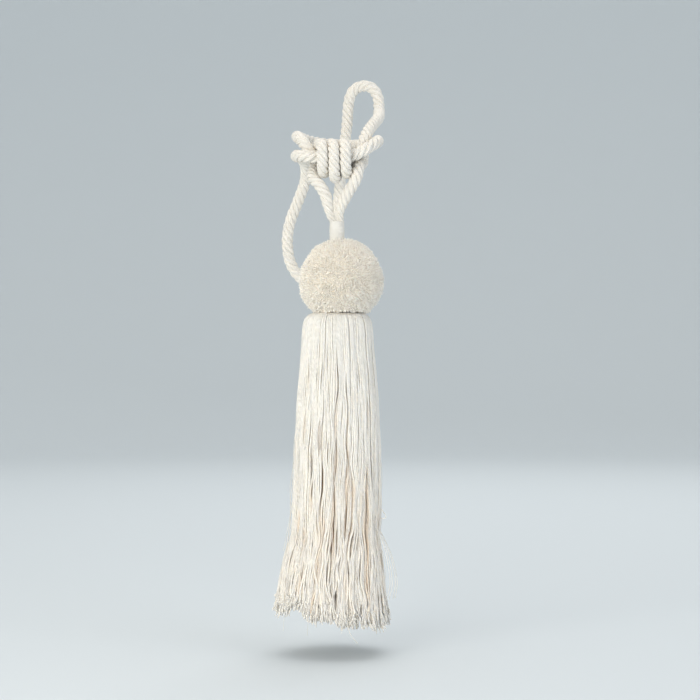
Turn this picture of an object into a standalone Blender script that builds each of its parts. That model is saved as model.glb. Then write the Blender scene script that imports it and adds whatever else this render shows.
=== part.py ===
"""Curtain tieback tassel: a twisted cotton rope loop, a wrapped knot, a pompom and a yarn skirt.

The rope loop hangs on a wall hook, passes twice round the gathered curtain and is held together in
front by three turns of the tassel's own rope. Below the knot the two legs of that rope meet in a
wrapped neck, which carries the pompom and the skirt.

Units are metres, +Z is up and -Y is the side that faces the room. Places are written in millimetres
from the middle of the knot and are moved so that the origin lies under the rope on the wall hook.
"""

import math
import random

import bmesh
import bpy
from mathutils import Vector, noise
from mathutils.geometry import delaunay_2d_cdt

MM = 0.001
SEAT_GAP = 0.3                     # air left between two pieces that touch

# Ropes: four strands, left-handed (S) lay
ROPE_DIAMETER = 8.0                # rope of the loop round the curtain
TASSEL_ROPE_DIAMETER = 7.2         # rope that ties the tassel on
LAY_RATIO = 2.36                   # length of one full twist, in rope diameters
ROPE_STRANDS = 4
STRAND_VALLEY = 0.76               # radius in the groove between strands, share of the outer radius
RINGS_PER_TWIST = 7

# Wall hook that the loop hangs on
HOOK_CENTRE = (15.5, 48.0, 46.0)
HOOK_BEND_RADIUS = 10.0

# Knot: three turns over the two ropes of the band
BAND_REAR = (-31.8, -3.0)          # y, z of the rope next to the curtain
BAND_FRONT = (-40.1, -4.4)         # y, z of the rope nearer the room
TURN_SAGS = (2.2, 5.6, 2.6)        # how far each turn hangs below the band, left to right
FIRST_TURN_X = -12.1
TURN_SPACING = TASSEL_ROPE_DIAMETER + SEAT_GAP
CORNER_SHARE = 0.735               # how far a turn swings out at a corner of the band, share of its reach

# Neck binding
NECK_X = -2.6
NECK_Y = -42.0
NECK_TOP_Z = -47.0
NECK_LENGTH = 10.6
NECK_RADIUS = 4.7
NECK_THREAD = 1.5                  # one turn of the binding yarn
NECK_SIDES = 16

# Pompom
BALL_CENTRE = (0.2, -42.0, -86.6)
BALL_WIDTH_RADIUS = 26.6
BALL_UPPER_RADIUS = 28.4
BALL_LOWER_RADIUS = 24.0
BALL_SEAT_Z = -105.3               # where it is pressed flat on the skirt's head
BALL_TOP_Z = NECK_TOP_Z - NECK_LENGTH - SEAT_GAP
BALL_LUMP = 0.7
BALL_SIDES = 26
BALL_RINGS = 13

# Skirt: domed head with ribs, then separate locks of yarn
SKIRT_Y = -42.0
HEAD_TOP_Z = BALL_SEAT_Z - SEAT_GAP
HEAD_BOTTOM_Z = -124.0
HEAD_RIB_DEPTH = 0.45
HEAD_PROFILE = (                   # share of the head's radius, drop below its top
    {"share": 0.66, "drop": 0.0},
    {"share": 0.80, "drop": 0.9},
    {"share": 0.91, "drop": 3.2},
    {"share": 0.97, "drop": 7.6},
    {"share": 1.00, "drop": 18.4},
)
SKIRT_SECTIONS = (                 # height, middle, half width and half depth of the yarns' outline
    {"z": -124.0, "x": -2.3, "half_width": 23.5, "half_depth": 22.0},
    {"z": -149.5, "x": -2.0, "half_width": 25.9, "half_depth": 23.5},
    {"z": -184.0, "x": -2.3, "half_width": 28.3, "half_depth": 25.0},
    {"z": -225.0, "x": -2.4, "half_width": 29.3, "half_depth": 25.5},
    {"z": -247.0, "x": -3.4, "half_width": 29.5, "half_depth": 25.0},
    {"z": -273.0, "x": -5.8, "half_width": 33.9, "half_depth": 28.5},
    {"z": -293.0, "x": -6.2, "half_width": 36.5, "half_depth": 31.0},
    {"z": -312.0, "x": -6.2, "half_width": 38.4, "half_depth": 33.0},
)
LOCK_RINGS = (                     # rings of locks, from the outside in, as shares of the outline
    {"locks": 48, "outer": 0.970, "inner": 0.845, "levels": 6},
    {"locks": 38, "outer": 0.820, "inner": 0.690, "levels": 3},
    {"locks": 30, "outer": 0.660, "inner": 0.530, "levels": 3},
    {"locks": 22, "outer": 0.500, "inner": 0.370, "levels": 3},
    {"locks": 13, "outer": 0.340, "inner": 0.200, "levels": 3},
    {"locks": 5, "outer": 0.170, "inner": 0.040, "levels": 3},
)
LOCK_FILL = 0.86                   # share of its wedge that a lock fills
LOCK_DRIFT = 0.05                  # how far a lock wanders inside its ring, share of the outline
HEM_LEFT_Z = -296.0
HEM_MIDDLE_Z = -303.0
HEM_RIGHT_Z = -306.0
HEM_UNEVEN = 2.5
SEED = 7

# Route of the loop: x, y, z of the rope's axis, anticlockwise from the right of the hook
LOOP_FROM_HOOK = (
    (26.2, 41.8, 38.6),
    (26.0, 33.5, 34.4),
    (25.8, 21.5, 31.2),
    (24.8, 5.5, 27.0),
    (21.4, -11.5, 20.8),
    (17.2, -24.2, 13.6),
    (14.0, -31.3, 5.8),
    (9.8, -32.0, -0.8),
)
LOOP_BAND_REAR = (
    (3.0, *BAND_REAR),
    (-6.0, *BAND_REAR),
    (-14.0, *BAND_REAR),
)
LOOP_ROUND_CURTAIN = (
    (-18.9, -31.9, -1.7),
    (-22.4, -30.6, 2.9),
    (-25.8, -25.6, 8.0),
    (-28.6, -16.5, 11.4),
    (-29.4, -6.5, 13.2),
    (-28.0, 4.5, 13.8),
    (-21.5, 16.5, 13.0),
    (-10.5, 23.5, 12.0),
    (1.5, 24.5, 11.3),
    (13.0, 19.5, 10.8),
    (21.0, 8.0, 10.6),
    (23.9, -6.0, 10.0),
    (24.2, -21.0, 8.4),
    (22.9, -33.6, 5.8),
    (17.4, -40.6, 1.6),
    (10.2, -41.2, -2.6),
)
LOOP_BAND_FRONT = (
    (3.0, *BAND_FRONT),
    (-6.0, *BAND_FRONT),
    (-14.0, *BAND_FRONT),
)
LOOP_BEHIND = (
    (-20.5, -39.9, -4.2),
    (-25.5, -37.6, -3.4),
    (-28.9, -30.0, -2.8),
    (-29.2, -14.0, -0.4),
    (-27.6, 2.5, 0.6),
    (-24.5, 15.5, -4.0),
    (-25.0, 23.5, -13.5),
    (-30.2, 27.5, -27.5),
    (-35.8, 29.0, -42.0),
    (-37.6, 30.0, -56.0),
    (-35.0, 31.0, -70.5),
    (-27.3, 32.5, -80.5),
    (-17.0, 34.0, -82.0),
    (-8.8, 35.0, -74.0),
    (-4.8, 36.0, -57.0),
    (-3.2, 38.0, -36.0),
    (-1.2, 41.0, -14.0),
    (1.2, 44.8, 8.0),
    (3.6, 48.8, 27.5),
)

# Legs of the tassel's rope, from the neck up to where the knot's turns begin and end
LEFT_LEG = (
    (NECK_X - 2.35, NECK_Y, NECK_TOP_Z),
    (-6.9, -42.0, -42.6),
    (-8.3, -42.4, -36.6),
    (-10.4, -42.6, -28.6),
    (-13.9, -41.6, -22.9),
    (-17.8, -37.6, -18.2),
    (-18.8, -31.4, -14.2),
    (-17.6, -25.8, -9.8),
)
RIGHT_LEG = (
    (7.0, -23.9, -4.6),
    (7.0, -23.9, -1.8),
    (8.1, -23.8, 0.8),
    (10.7, -23.8, 1.9),
    (13.3, -23.8, 0.8),
    (14.5, -23.9, -1.8),
    (14.6, -24.2, -4.4),
    (14.0, -26.0, -6.8),
    (12.8, -29.6, -8.7),
    (12.2, -33.4, -9.3),
    (11.8, -37.2, -10.5),
    (11.2, -40.4, -13.0),
    (9.9, -42.8, -18.6),
    (6.9, -43.4, -24.0),
    (3.5, -42.9, -29.8),
    (0.8, -42.4, -35.0),
    (-0.7, -42.1, -40.8),
    (NECK_X + 2.35, NECK_Y, NECK_TOP_Z),
)
LEG_TAPER_LENGTH = 16.0            # the legs are squeezed where the neck binding takes them
LEG_END_SHARE = 0.62

COLOURS = {                        # linear RGB and roughness of each finish
    "rope_cotton": {"colour": (0.80, 0.76, 0.69), "roughness": 0.88},
    "neck_yarn": {"colour": (0.85, 0.82, 0.76), "roughness": 0.80},
    "pompom_pile": {"colour": (0.79, 0.72, 0.60), "roughness": 0.95},
    "skirt_yarn": {"colour": (0.84, 0.80, 0.72), "roughness": 0.85},
}

HOOK_SEAT = Vector(HOOK_CENTRE) + Vector((0, 0, HOOK_BEND_RADIUS - ROPE_DIAMETER / 2))


def placed(point):
    """Millimetres from the knot's middle, as metres from the rope's seat on the wall hook."""
    return (Vector(point) - HOOK_SEAT) * MM


def clear_objects():
    for obj in list(bpy.data.objects):
        bpy.data.objects.remove(obj, do_unlink=True)


def material(name):
    finish = COLOURS[name]
    made = bpy.data.materials.new(name)
    made.use_nodes = True
    shader = made.node_tree.nodes["Principled BSDF"]
    shader.inputs["Base Color"].default_value = (*finish["colour"], 1.0)
    shader.inputs["Roughness"].default_value = finish["roughness"]
    shader.inputs["Metallic"].default_value = 0.0
    return made


def add_object(name, mesh_builder, finish):
    """Turns a bmesh in millimetres into a named object with its finish."""
    for vert in mesh_builder.verts:
        vert.co = placed(vert.co)
    bmesh.ops.recalc_face_normals(mesh_builder, faces=mesh_builder.faces)
    mesh = bpy.data.meshes.new(name)
    mesh_builder.to_mesh(mesh)
    mesh_builder.free()
    mesh.shade_smooth()
    mesh.set_sharp_from_angle(angle=math.radians(50))
    obj = bpy.data.objects.new(name, mesh)
    obj.data.materials.append(material(finish))
    bpy.context.collection.objects.link(obj)
    return obj


def spline_point(before, start, end, after, share):
    """Point of a centripetal Catmull-Rom curve between start and end."""
    knots = [0.0]
    for first, second in ((before, start), (start, end), (end, after)):
        knots.append(knots[-1] + math.sqrt((second - first).length))
    at = knots[1] + (knots[2] - knots[1]) * share

    def blend(first, second, low, high):
        return first.lerp(second, (at - low) / (high - low))

    a1 = blend(before, start, knots[0], knots[1])
    a2 = blend(start, end, knots[1], knots[2])
    a3 = blend(end, after, knots[2], knots[3])
    b1 = blend(a1, a2, knots[0], knots[2])
    b2 = blend(a2, a3, knots[1], knots[3])
    return blend(b1, b2, knots[1], knots[2])


def smooth_route(points, closed, samples=12):
    """Closely spaced points on a smooth curve through a route's own points."""
    points = [Vector(point) for point in points]
    if closed:
        padded = [points[-1], *points, points[0], points[1]]
    else:
        lead_in = points[0] * 2 - points[1]
        lead_out = points[-1] * 2 - points[-2]
        padded = [lead_in, *points, lead_out]
    curve = []
    for four in zip(padded, padded[1:], padded[2:], padded[3:]):
        curve.extend(spline_point(*four, step / samples) for step in range(samples))
    curve.append(padded[-2].copy())
    return curve


def spaced_points(curve, count):
    """The curve again as count + 1 points at equal distances, with its length."""
    lengths = [0.0]
    for first, second in zip(curve, curve[1:]):
        lengths.append(lengths[-1] + (second - first).length)
    spaced = []
    segment = 0
    for step in range(count + 1):
        target = lengths[-1] * step / count
        while segment < len(curve) - 2 and lengths[segment + 1] < target:
            segment += 1
        share = (target - lengths[segment]) / (lengths[segment + 1] - lengths[segment])
        spaced.append(curve[segment].lerp(curve[segment + 1], min(share, 1.0)))
    return spaced, lengths[-1]


def route_length(curve):
    return sum((second - first).length for first, second in zip(curve, curve[1:]))


def carried_frames(points, closed):
    """Tangent and a side direction at each point, turned as little as the route allows."""
    tangents = []
    for index in range(len(points)):
        if closed:
            ahead = points[(index + 1) % len(points)]
        else:
            ahead = points[min(index + 1, len(points) - 1)]
        behind = points[index - 1] if closed or index else points[0]
        tangents.append((ahead - behind).normalized())
    side = tangents[0].orthogonal().normalized()
    sides = [side]
    for first, second in zip(tangents, tangents[1:]):
        side = first.rotation_difference(second) @ side
        sides.append((side - second * side.dot(second)).normalized())
    return tangents, sides


def closing_turn(tangents, sides):
    """Angle about the axis by which the carried side misses its start on a closed route."""
    last = tangents[-1].rotation_difference(tangents[0]) @ sides[-1]
    other = tangents[0].cross(sides[0])
    return math.atan2(last.dot(other), last.dot(sides[0]))


def rope_ring(mesh_builder, centre, tangent, side, turn, radius):
    """One ring of a stranded rope: a crest and a groove for each strand."""
    other = tangent.cross(side)
    ring = []
    for index in range(ROPE_STRANDS * 2):
        angle = turn + math.pi * index / ROPE_STRANDS
        reach = radius if index % 2 == 0 else radius * STRAND_VALLEY
        direction = side * math.cos(angle) + other * math.sin(angle)
        ring.append(mesh_builder.verts.new(centre + direction * reach))
    return ring


def bridge_rings(mesh_builder, first, second):
    for index in range(len(first)):
        following = (index + 1) % len(first)
        mesh_builder.faces.new((first[index], first[following], second[following], second[index]))


def rope_loop(name, route, diameter, finish):
    """Endless stranded rope along a closed route, with a whole number of twists."""
    curve = smooth_route(route, closed=True)
    twists = round(route_length(curve) / (diameter * LAY_RATIO))
    points, _ = spaced_points(curve, twists * RINGS_PER_TWIST)
    points.pop()
    tangents, sides = carried_frames(points, closed=True)
    total_turn = -2 * math.pi * twists - closing_turn(tangents, sides)
    mesh_builder = bmesh.new()
    rings = []
    for index, point in enumerate(points):
        turn = total_turn * index / len(points)
        rings.append(rope_ring(mesh_builder, point, tangents[index], sides[index], turn, diameter / 2))
    for first, second in zip(rings, rings[1:] + rings[:1]):
        bridge_rings(mesh_builder, first, second)
    return add_object(name, mesh_builder, finish)


def rope_length_of(name, route, diameter, finish):
    """Stranded rope along an open route, squeezed at both ends and capped."""
    curve = smooth_route(route, closed=False)
    length = route_length(curve)
    count = round(length / (diameter * LAY_RATIO) * RINGS_PER_TWIST)
    points, _ = spaced_points(curve, count)
    tangents, sides = carried_frames(points, closed=False)
    tangents[0] = tangents[-1] = Vector((0, 0, 1))
    tangents[-1] = -tangents[0]
    mesh_builder = bmesh.new()
    rings = []
    for index, point in enumerate(points):
        along = length * index / count
        turn = -2 * math.pi * index / RINGS_PER_TWIST
        open_share = min(1.0, min(along, length - along) / LEG_TAPER_LENGTH)
        eased = open_share * open_share * (3 - 2 * open_share)
        radius = diameter / 2 * (LEG_END_SHARE + (1 - LEG_END_SHARE) * eased)
        tangent = tangents[index]
        side = (sides[index] - tangent * sides[index].dot(tangent)).normalized()
        rings.append(rope_ring(mesh_builder, point, tangent, side, turn, radius))
    for first, second in zip(rings, rings[1:]):
        bridge_rings(mesh_builder, first, second)
    mesh_builder.faces.new(rings[0])
    mesh_builder.faces.new(rings[-1])
    return add_object(name, mesh_builder, finish)


def hook_bend():
    """The loop's rope over the wall hook, from its left side over the top to its right."""
    centre = Vector(HOOK_CENTRE)
    bend = []
    for degrees in (170, 130, 90, 50, 10):
        angle = math.radians(degrees)
        swing = -3.0 * math.cos(angle)
        bend.append(centre + Vector((math.cos(angle) * HOOK_BEND_RADIUS, swing,
                                     math.sin(angle) * HOOK_BEND_RADIUS)))
    return bend


def build_loop():
    route = (*hook_bend(), *LOOP_FROM_HOOK, *LOOP_BAND_REAR, *LOOP_ROUND_CURTAIN,
             *LOOP_BAND_FRONT, *LOOP_BEHIND)
    return rope_loop("loop_rope", route, ROPE_DIAMETER, "rope_cotton")


def knot_turn(turn):
    """Axis of one turn of the knot: up behind the band, over it, down in front and under it."""
    reach = (ROPE_DIAMETER + TASSEL_ROPE_DIAMETER) / 2 + SEAT_GAP
    corner = reach * CORNER_SHARE
    sag = TURN_SAGS[turn]
    rear_y, rear_z = BAND_REAR
    front_y, front_z = BAND_FRONT
    front_x = FIRST_TURN_X + TURN_SPACING * turn
    steps = (                      # share of the spacing to the side of the front, y, z
        (-0.50, rear_y + reach, rear_z),
        (-0.40, rear_y + corner, rear_z + corner),
        (-0.28, rear_y, rear_z + reach),
        (-0.12, front_y, front_z + reach),
        (-0.04, front_y - corner, front_z + corner),
        (0.00, front_y - reach, front_z),
        (0.04, front_y - corner, front_z - corner - sag * 0.9),
        (0.12, front_y, front_z - reach - sag),
        (0.28, rear_y, rear_z - reach - sag * 0.6),
        (0.40, rear_y + corner, rear_z - corner - sag * 0.2),
    )
    return [(front_x + TURN_SPACING * aside, y, z) for aside, y, z in steps]


def tassel_route():
    """Left leg, the knot's turns, a tuck behind the band and the right leg."""
    turns = [point for turn in range(len(TURN_SAGS)) for point in knot_turn(turn)]
    return (*LEFT_LEG, *turns, *RIGHT_LEG)


def build_tassel_rope():
    return rope_length_of("tassel_rope", tassel_route(), TASSEL_ROPE_DIAMETER, "rope_cotton")


def turned_solid(name, profile, centre_x, centre_y, sides, finish):
    """Closed solid turned about a vertical axis from (radius, z) pairs, top to bottom."""
    mesh_builder = bmesh.new()
    rings = []
    for radius, z in profile:
        ring = []
        for index in range(sides):
            angle = 2 * math.pi * index / sides
            ring.append(mesh_builder.verts.new((centre_x + radius * math.cos(angle),
                                                centre_y + radius * math.sin(angle), z)))
        rings.append(ring)
    for first, second in zip(rings, rings[1:]):
        bridge_rings(mesh_builder, first, second)
    mesh_builder.faces.new(rings[0])
    mesh_builder.faces.new(rings[-1])
    return add_object(name, mesh_builder, finish)


def build_neck():
    """Binding yarn wound round both legs: a short column with a ridge for each turn."""
    top = NECK_TOP_Z - SEAT_GAP
    bottom = NECK_TOP_Z - NECK_LENGTH
    ridges = round((top - bottom) / NECK_THREAD)
    step = (top - bottom) / ridges
    profile = []
    for ridge in range(ridges):
        profile.append((NECK_RADIUS - 0.35, top - step * ridge))
        profile.append((NECK_RADIUS, top - step * (ridge + 0.5)))
    profile.append((NECK_RADIUS - 0.35, bottom))
    return turned_solid("neck_binding", profile, NECK_X, NECK_Y, NECK_SIDES, "neck_yarn")


def build_pompom():
    """Dense pompom: fuller above than below, uneven, and pressed flat on the skirt's head."""
    centre = Vector(BALL_CENTRE)
    mesh_builder = bmesh.new()
    bmesh.ops.create_uvsphere(mesh_builder, u_segments=BALL_SIDES, v_segments=BALL_RINGS, radius=1.0)
    for vert in mesh_builder.verts:
        direction = vert.co.normalized()
        lump = noise.noise(direction * 2.6 + Vector((SEED, 0, 0))) * BALL_LUMP
        upright = BALL_UPPER_RADIUS if direction.z > 0 else BALL_LOWER_RADIUS
        place = Vector((direction.x * (BALL_WIDTH_RADIUS + lump),
                        direction.y * (BALL_WIDTH_RADIUS + lump),
                        direction.z * (upright + lump))) + centre
        place.z = min(place.z, BALL_TOP_Z)
        place.z = max(place.z, BALL_SEAT_Z)
        vert.co = place
    return add_object("pompom", mesh_builder, "pompom_pile")


def skirt_outline(z):
    """Middle x, half width and half depth of the skirt at a height."""
    if z >= SKIRT_SECTIONS[0]["z"]:
        row = SKIRT_SECTIONS[0]
        return row["x"], row["half_width"], row["half_depth"]
    for upper, lower in zip(SKIRT_SECTIONS, SKIRT_SECTIONS[1:]):
        if z >= lower["z"]:
            share = (upper["z"] - z) / (upper["z"] - lower["z"])
            return tuple(upper[key] + (lower[key] - upper[key]) * share
                         for key in ("x", "half_width", "half_depth"))
    row = SKIRT_SECTIONS[-1]
    return row["x"], row["half_width"], row["half_depth"]


def skirt_point(share, angle, z):
    """Point at a share of the outline's reach, in a direction seen from above."""
    middle, half_width, half_depth = skirt_outline(z)
    return Vector((middle + half_width * share * math.cos(angle),
                   SKIRT_Y + half_depth * share * math.sin(angle), z))


def hem_height(angle):
    """Height at which the yarns were cut: shorter on the left than in the middle and right."""
    across = math.cos(angle)
    if across < 0:
        return HEM_MIDDLE_Z + (HEM_LEFT_Z - HEM_MIDDLE_Z) * -across
    return HEM_MIDDLE_Z + (HEM_RIGHT_Z - HEM_MIDDLE_Z) * across


def lock_levels(bottom, count):
    """Heights at which a lock has a ring of corners, from the head down to its cut end."""
    if count > 3:
        inner = [row["z"] for row in SKIRT_SECTIONS[1:] if row["z"] > bottom + 8]
        return [HEAD_BOTTOM_Z, *inner[:count - 1], bottom]
    waist = SKIRT_SECTIONS[4]["z"]
    return [HEAD_BOTTOM_Z, (HEAD_BOTTOM_Z + waist) / 2, waist, bottom]


def add_lock(mesh_builder, row, index, chance):
    """One lock of yarn: a four-sided strand that stays inside its own wedge of the skirt."""
    wedge = 2 * math.pi / row["locks"]
    middle = wedge * (index + 0.5)
    fill = LOCK_FILL * chance.uniform(0.92, 1.0)
    bottom = hem_height(middle) + chance.uniform(-HEM_UNEVEN, HEM_UNEVEN)
    levels = lock_levels(bottom, row["levels"])
    drift = 0.0
    lean = 0.0
    rings = []
    for level, z in enumerate(levels):
        if level:
            drift = max(-1.0, min(0.0, drift + chance.uniform(-0.6, 0.6)))
            lean = max(-1.0, min(1.0, lean + chance.uniform(-0.7, 0.7)))
        slack = (1 - fill) / 2 * wedge
        turn = middle + lean * slack * 0.8
        outer = row["outer"] + drift * LOCK_DRIFT
        inner = row["inner"]
        half = wedge * fill / 2
        corners = ((outer, turn - half), (outer, turn + half), (inner, turn + half), (inner, turn - half))
        rings.append([mesh_builder.verts.new(skirt_point(share, angle, z)) for share, angle in corners])
    for first, second in zip(rings, rings[1:]):
        bridge_rings(mesh_builder, first, second)
    mesh_builder.faces.new(rings[-1])
    return rings[0]


def fill_underside(mesh_builder, rim, roots):
    """Flat face of the head between its rim and the roots of the locks."""
    corners = list(rim)
    owners = [-1] * len(rim)
    edges = []
    for owner, ring in enumerate(roots):
        start = len(corners)
        corners.extend(ring)
        owners.extend([owner] * len(ring))
        edges.extend((start + index, start + (index + 1) % len(ring)) for index in range(len(ring)))
    places = [vert.co.xy for vert in corners]
    inside_rim = 1
    filled = delaunay_2d_cdt(places, edges, [list(range(len(rim)))], inside_rim, 1e-6)
    originals = filled[3]
    for triangle in filled[2]:
        indices = [originals[index][0] for index in triangle]
        holders = {owners[index] for index in indices}
        if len(holders) == 1 and -1 not in holders:
            continue
        mesh_builder.faces.new([corners[index] for index in indices])


def build_skirt():
    """Domed, ribbed head in one piece with the locks that hang from its flat underside."""
    chance = random.Random(SEED)
    mesh_builder = bmesh.new()
    ribs = LOCK_RINGS[0]["locks"]
    rings = []
    for row in HEAD_PROFILE:
        z = HEAD_TOP_Z - row["drop"]
        ring = []
        for index in range(ribs * 2):
            groove = 0.0 if index % 2 else HEAD_RIB_DEPTH / SKIRT_SECTIONS[0]["half_width"]
            share = row["share"] - groove * min(1.0, row["drop"])
            ring.append(mesh_builder.verts.new(skirt_point(share, math.pi * index / ribs, z)))
        rings.append(ring)
    mesh_builder.faces.new(rings[0])
    for first, second in zip(rings, rings[1:]):
        bridge_rings(mesh_builder, first, second)
    roots = []
    for row in LOCK_RINGS:
        for index in range(row["locks"]):
            roots.append(add_lock(mesh_builder, row, index, chance))
    fill_underside(mesh_builder, rings[-1], roots)
    return add_object("skirt", mesh_builder, "skirt_yarn")


clear_objects()
build_loop()
build_tassel_rope()
build_neck()
build_pompom()
build_skirt()
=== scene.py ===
# %% [markdown]
# # A curtain tieback tassel in cotton
# A loop of twisted rope goes round a gathered curtain and hangs on a wall hook. A thinner rope is wound
# three times round the loop in front, and its two legs carry a pompom and a long skirt of loose yarns.
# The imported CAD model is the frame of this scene: every piece below stands where one of its solids stands.

# %% Open the frame
import math
from functools import partial

import bmesh
import bpy
import numpy as np
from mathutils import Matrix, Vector, noise


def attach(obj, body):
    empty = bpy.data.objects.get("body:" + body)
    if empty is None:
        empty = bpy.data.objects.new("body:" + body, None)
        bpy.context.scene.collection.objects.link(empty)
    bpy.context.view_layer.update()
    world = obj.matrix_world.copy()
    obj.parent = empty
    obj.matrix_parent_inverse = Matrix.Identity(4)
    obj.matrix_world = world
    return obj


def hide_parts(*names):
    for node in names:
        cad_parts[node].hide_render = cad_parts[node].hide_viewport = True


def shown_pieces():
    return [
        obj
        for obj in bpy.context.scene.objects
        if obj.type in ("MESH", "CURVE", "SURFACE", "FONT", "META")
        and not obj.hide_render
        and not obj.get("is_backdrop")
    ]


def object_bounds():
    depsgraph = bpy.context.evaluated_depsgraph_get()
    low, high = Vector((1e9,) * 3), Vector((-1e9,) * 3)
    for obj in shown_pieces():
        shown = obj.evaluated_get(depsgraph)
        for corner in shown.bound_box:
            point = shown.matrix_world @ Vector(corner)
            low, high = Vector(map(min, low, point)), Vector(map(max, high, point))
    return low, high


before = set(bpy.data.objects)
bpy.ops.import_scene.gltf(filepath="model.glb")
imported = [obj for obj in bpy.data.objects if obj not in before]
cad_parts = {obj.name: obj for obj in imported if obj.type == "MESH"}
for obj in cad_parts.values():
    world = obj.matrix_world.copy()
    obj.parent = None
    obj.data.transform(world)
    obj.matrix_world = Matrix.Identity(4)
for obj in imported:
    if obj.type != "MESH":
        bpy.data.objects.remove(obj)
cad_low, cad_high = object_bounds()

MM = 0.001
print("nodes in the frame:", sorted(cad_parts))

# %% [markdown]
# ## One place for everything
# The tassel was measured in millimetres from the middle of its knot, and the frame counts metres from
# where the rope sits on the wall hook. One small function goes from the first to the second.

# %% Millimetres from the knot to metres in the frame
HOOK_CENTRE = np.array((15.5, 48.0, 46.0))
HOOK_BEND_RADIUS = 10.0
ROPE_DIAMETER = 8.0
TASSEL_ROPE_DIAMETER = 7.2
HOOK_SEAT = HOOK_CENTRE + (0, 0, HOOK_BEND_RADIUS - ROPE_DIAMETER / 2)


def placed(points):
    """Points in millimetres from the knot's middle, as metres in the frame."""
    return (np.asarray(points, dtype=float) - HOOK_SEAT) * MM


print("the knot's middle is at", placed((0, 0, 0)).round(4))

# %% [markdown]
# ## The camera
# It looks level at the tassel from the front, about a metre away, with a portrait lens so that the round
# forms aren't drawn out. The picture is as wide as it is high.

# %% Camera
VIEW_WIDTH = 455.0  # width of the picture where the tassel hangs
VIEW_CENTRE = (5.85, -42.0, -130.0)
LENS, SENSOR = 85.0, 36.0


def put_in(name, data):
    """A new object for a mesh, light or camera, linked to the scene."""
    obj = bpy.data.objects.new(name, data)
    bpy.context.collection.objects.link(obj)
    return obj


camera = put_in("camera", bpy.data.cameras.new("camera"))
camera.data.lens = LENS
camera.data.sensor_width = SENSOR
camera.data.clip_start, camera.data.clip_end = 0.05, 20.0
camera.location = Vector(placed(VIEW_CENTRE)) + Vector((0, -VIEW_WIDTH * MM * LENS / SENSOR, 0))
camera.rotation_euler = (math.radians(90), 0, 0)
bpy.context.scene.camera = camera
print("camera at", [round(value, 3) for value in camera.location])

# %% [markdown]
# ## Helpers for trees of nodes
# Both Geometry Nodes and materials are trees. One function adds a node, sets what is fixed on it and links
# what comes from other nodes, so that a tree reads from top to bottom like a recipe.

# %% Adding nodes, running a tree, reading colours
def add_node(tree, kind, inputs=(), **settings):
    """Adds a node. Its inputs are a list, or a dict by name or number.

    Each is a plain value, another node's output, or a node for its first output.
    """
    node = tree.nodes.new(kind)
    for name, value in settings.items():
        setattr(node, name, value)
    for key, value in inputs.items() if isinstance(inputs, dict) else enumerate(inputs):
        if isinstance(value, bpy.types.Node):
            value = next(socket for socket in value.outputs if socket.enabled)
        if isinstance(value, bpy.types.NodeSocket):
            tree.links.new(value, node.inputs[key])
        else:
            node.inputs[key].default_value = value
    return node


def new_tree(name, sockets):
    """An empty Geometry Nodes tree, the function that adds nodes to it, and the outputs of its input node.

    sockets names the inputs, and each default value tells its kind: None stands for a material.
    """
    tree = bpy.data.node_groups.new(name, "GeometryNodeTree")
    for way in ("OUTPUT", "INPUT"):
        tree.interface.new_socket("Geometry", in_out=way, socket_type="NodeSocketGeometry")
    for label, value in sockets.items():
        kind = {float: "Float", int: "Int"}.get(type(value), "Material")
        socket = tree.interface.new_socket(label, in_out="INPUT", socket_type="NodeSocket" + kind)
        if value is not None:
            socket.default_value = value
    add = partial(add_node, tree)
    return tree, add, add("NodeGroupInput").outputs


def close_tree(add, shape, finish):
    """What ends every tree: instances made real, the material, and the way out."""
    shape = add("GeometryNodeRealizeInstances", {"Geometry": shape})
    shape = add("GeometryNodeSetMaterial", {"Geometry": shape, "Material": finish})
    add("NodeGroupOutput", {"Geometry": shape})


def grow(name, base, tree, values):
    """Runs a tree on a base mesh, and keeps what it makes as a plain mesh without a modifier."""
    obj = put_in(name, base)
    modifier = obj.modifiers.new("grow", "NODES")
    modifier.node_group = tree
    for item in tree.interface.items_tree:
        if item.in_out == "INPUT" and item.name in values:
            modifier[item.identifier] = values[item.name]
    seen = obj.evaluated_get(bpy.context.evaluated_depsgraph_get())
    made = bpy.data.meshes.new_from_object(seen)
    obj.modifiers.remove(modifier)
    obj.data = made
    made.name = name
    made.calc_loop_triangles()
    print(f"{name}: {len(made.loop_triangles)} triangles")
    return obj


def linear(hex_colour):
    """An sRGB hex colour as linear red, green, blue and full alpha."""
    parts = [int(hex_colour[i:i + 2], 16) / 255 for i in (1, 3, 5)]
    return (*(c / 12.92 if c <= 0.04045 else ((c + 0.055) / 1.055) ** 2.4 for c in parts), 1.0)


# %% [markdown]
# ## Cotton
# Everything here is cotton: rope, winding thread, pompom pile and skirt yarn. Cotton fibre is matt and
# slightly translucent, so it has a high roughness and a faint sheen where it turns away from the eye. What
# sets the finishes apart is the yarn: its tone, how it is plied, and the painted shade where it lies deep.
# The ply is drawn from the strand's own UV map, which goes once round the strand in U and along it in V, in
# metres.

# %% A cotton finish
YARN_TONE = 0.06  # how much darker or lighter one yarn is than the next
SLUB_TONE, SLUBS_PER_METRE = 0.08, 260.0  # slubs: spun cotton's uneven tone, every 4 mm or so
FIBRES_PER_METRE = 2200.0  # fluff: real fibres are under 0.02 mm and are drawn coarser to show


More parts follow.
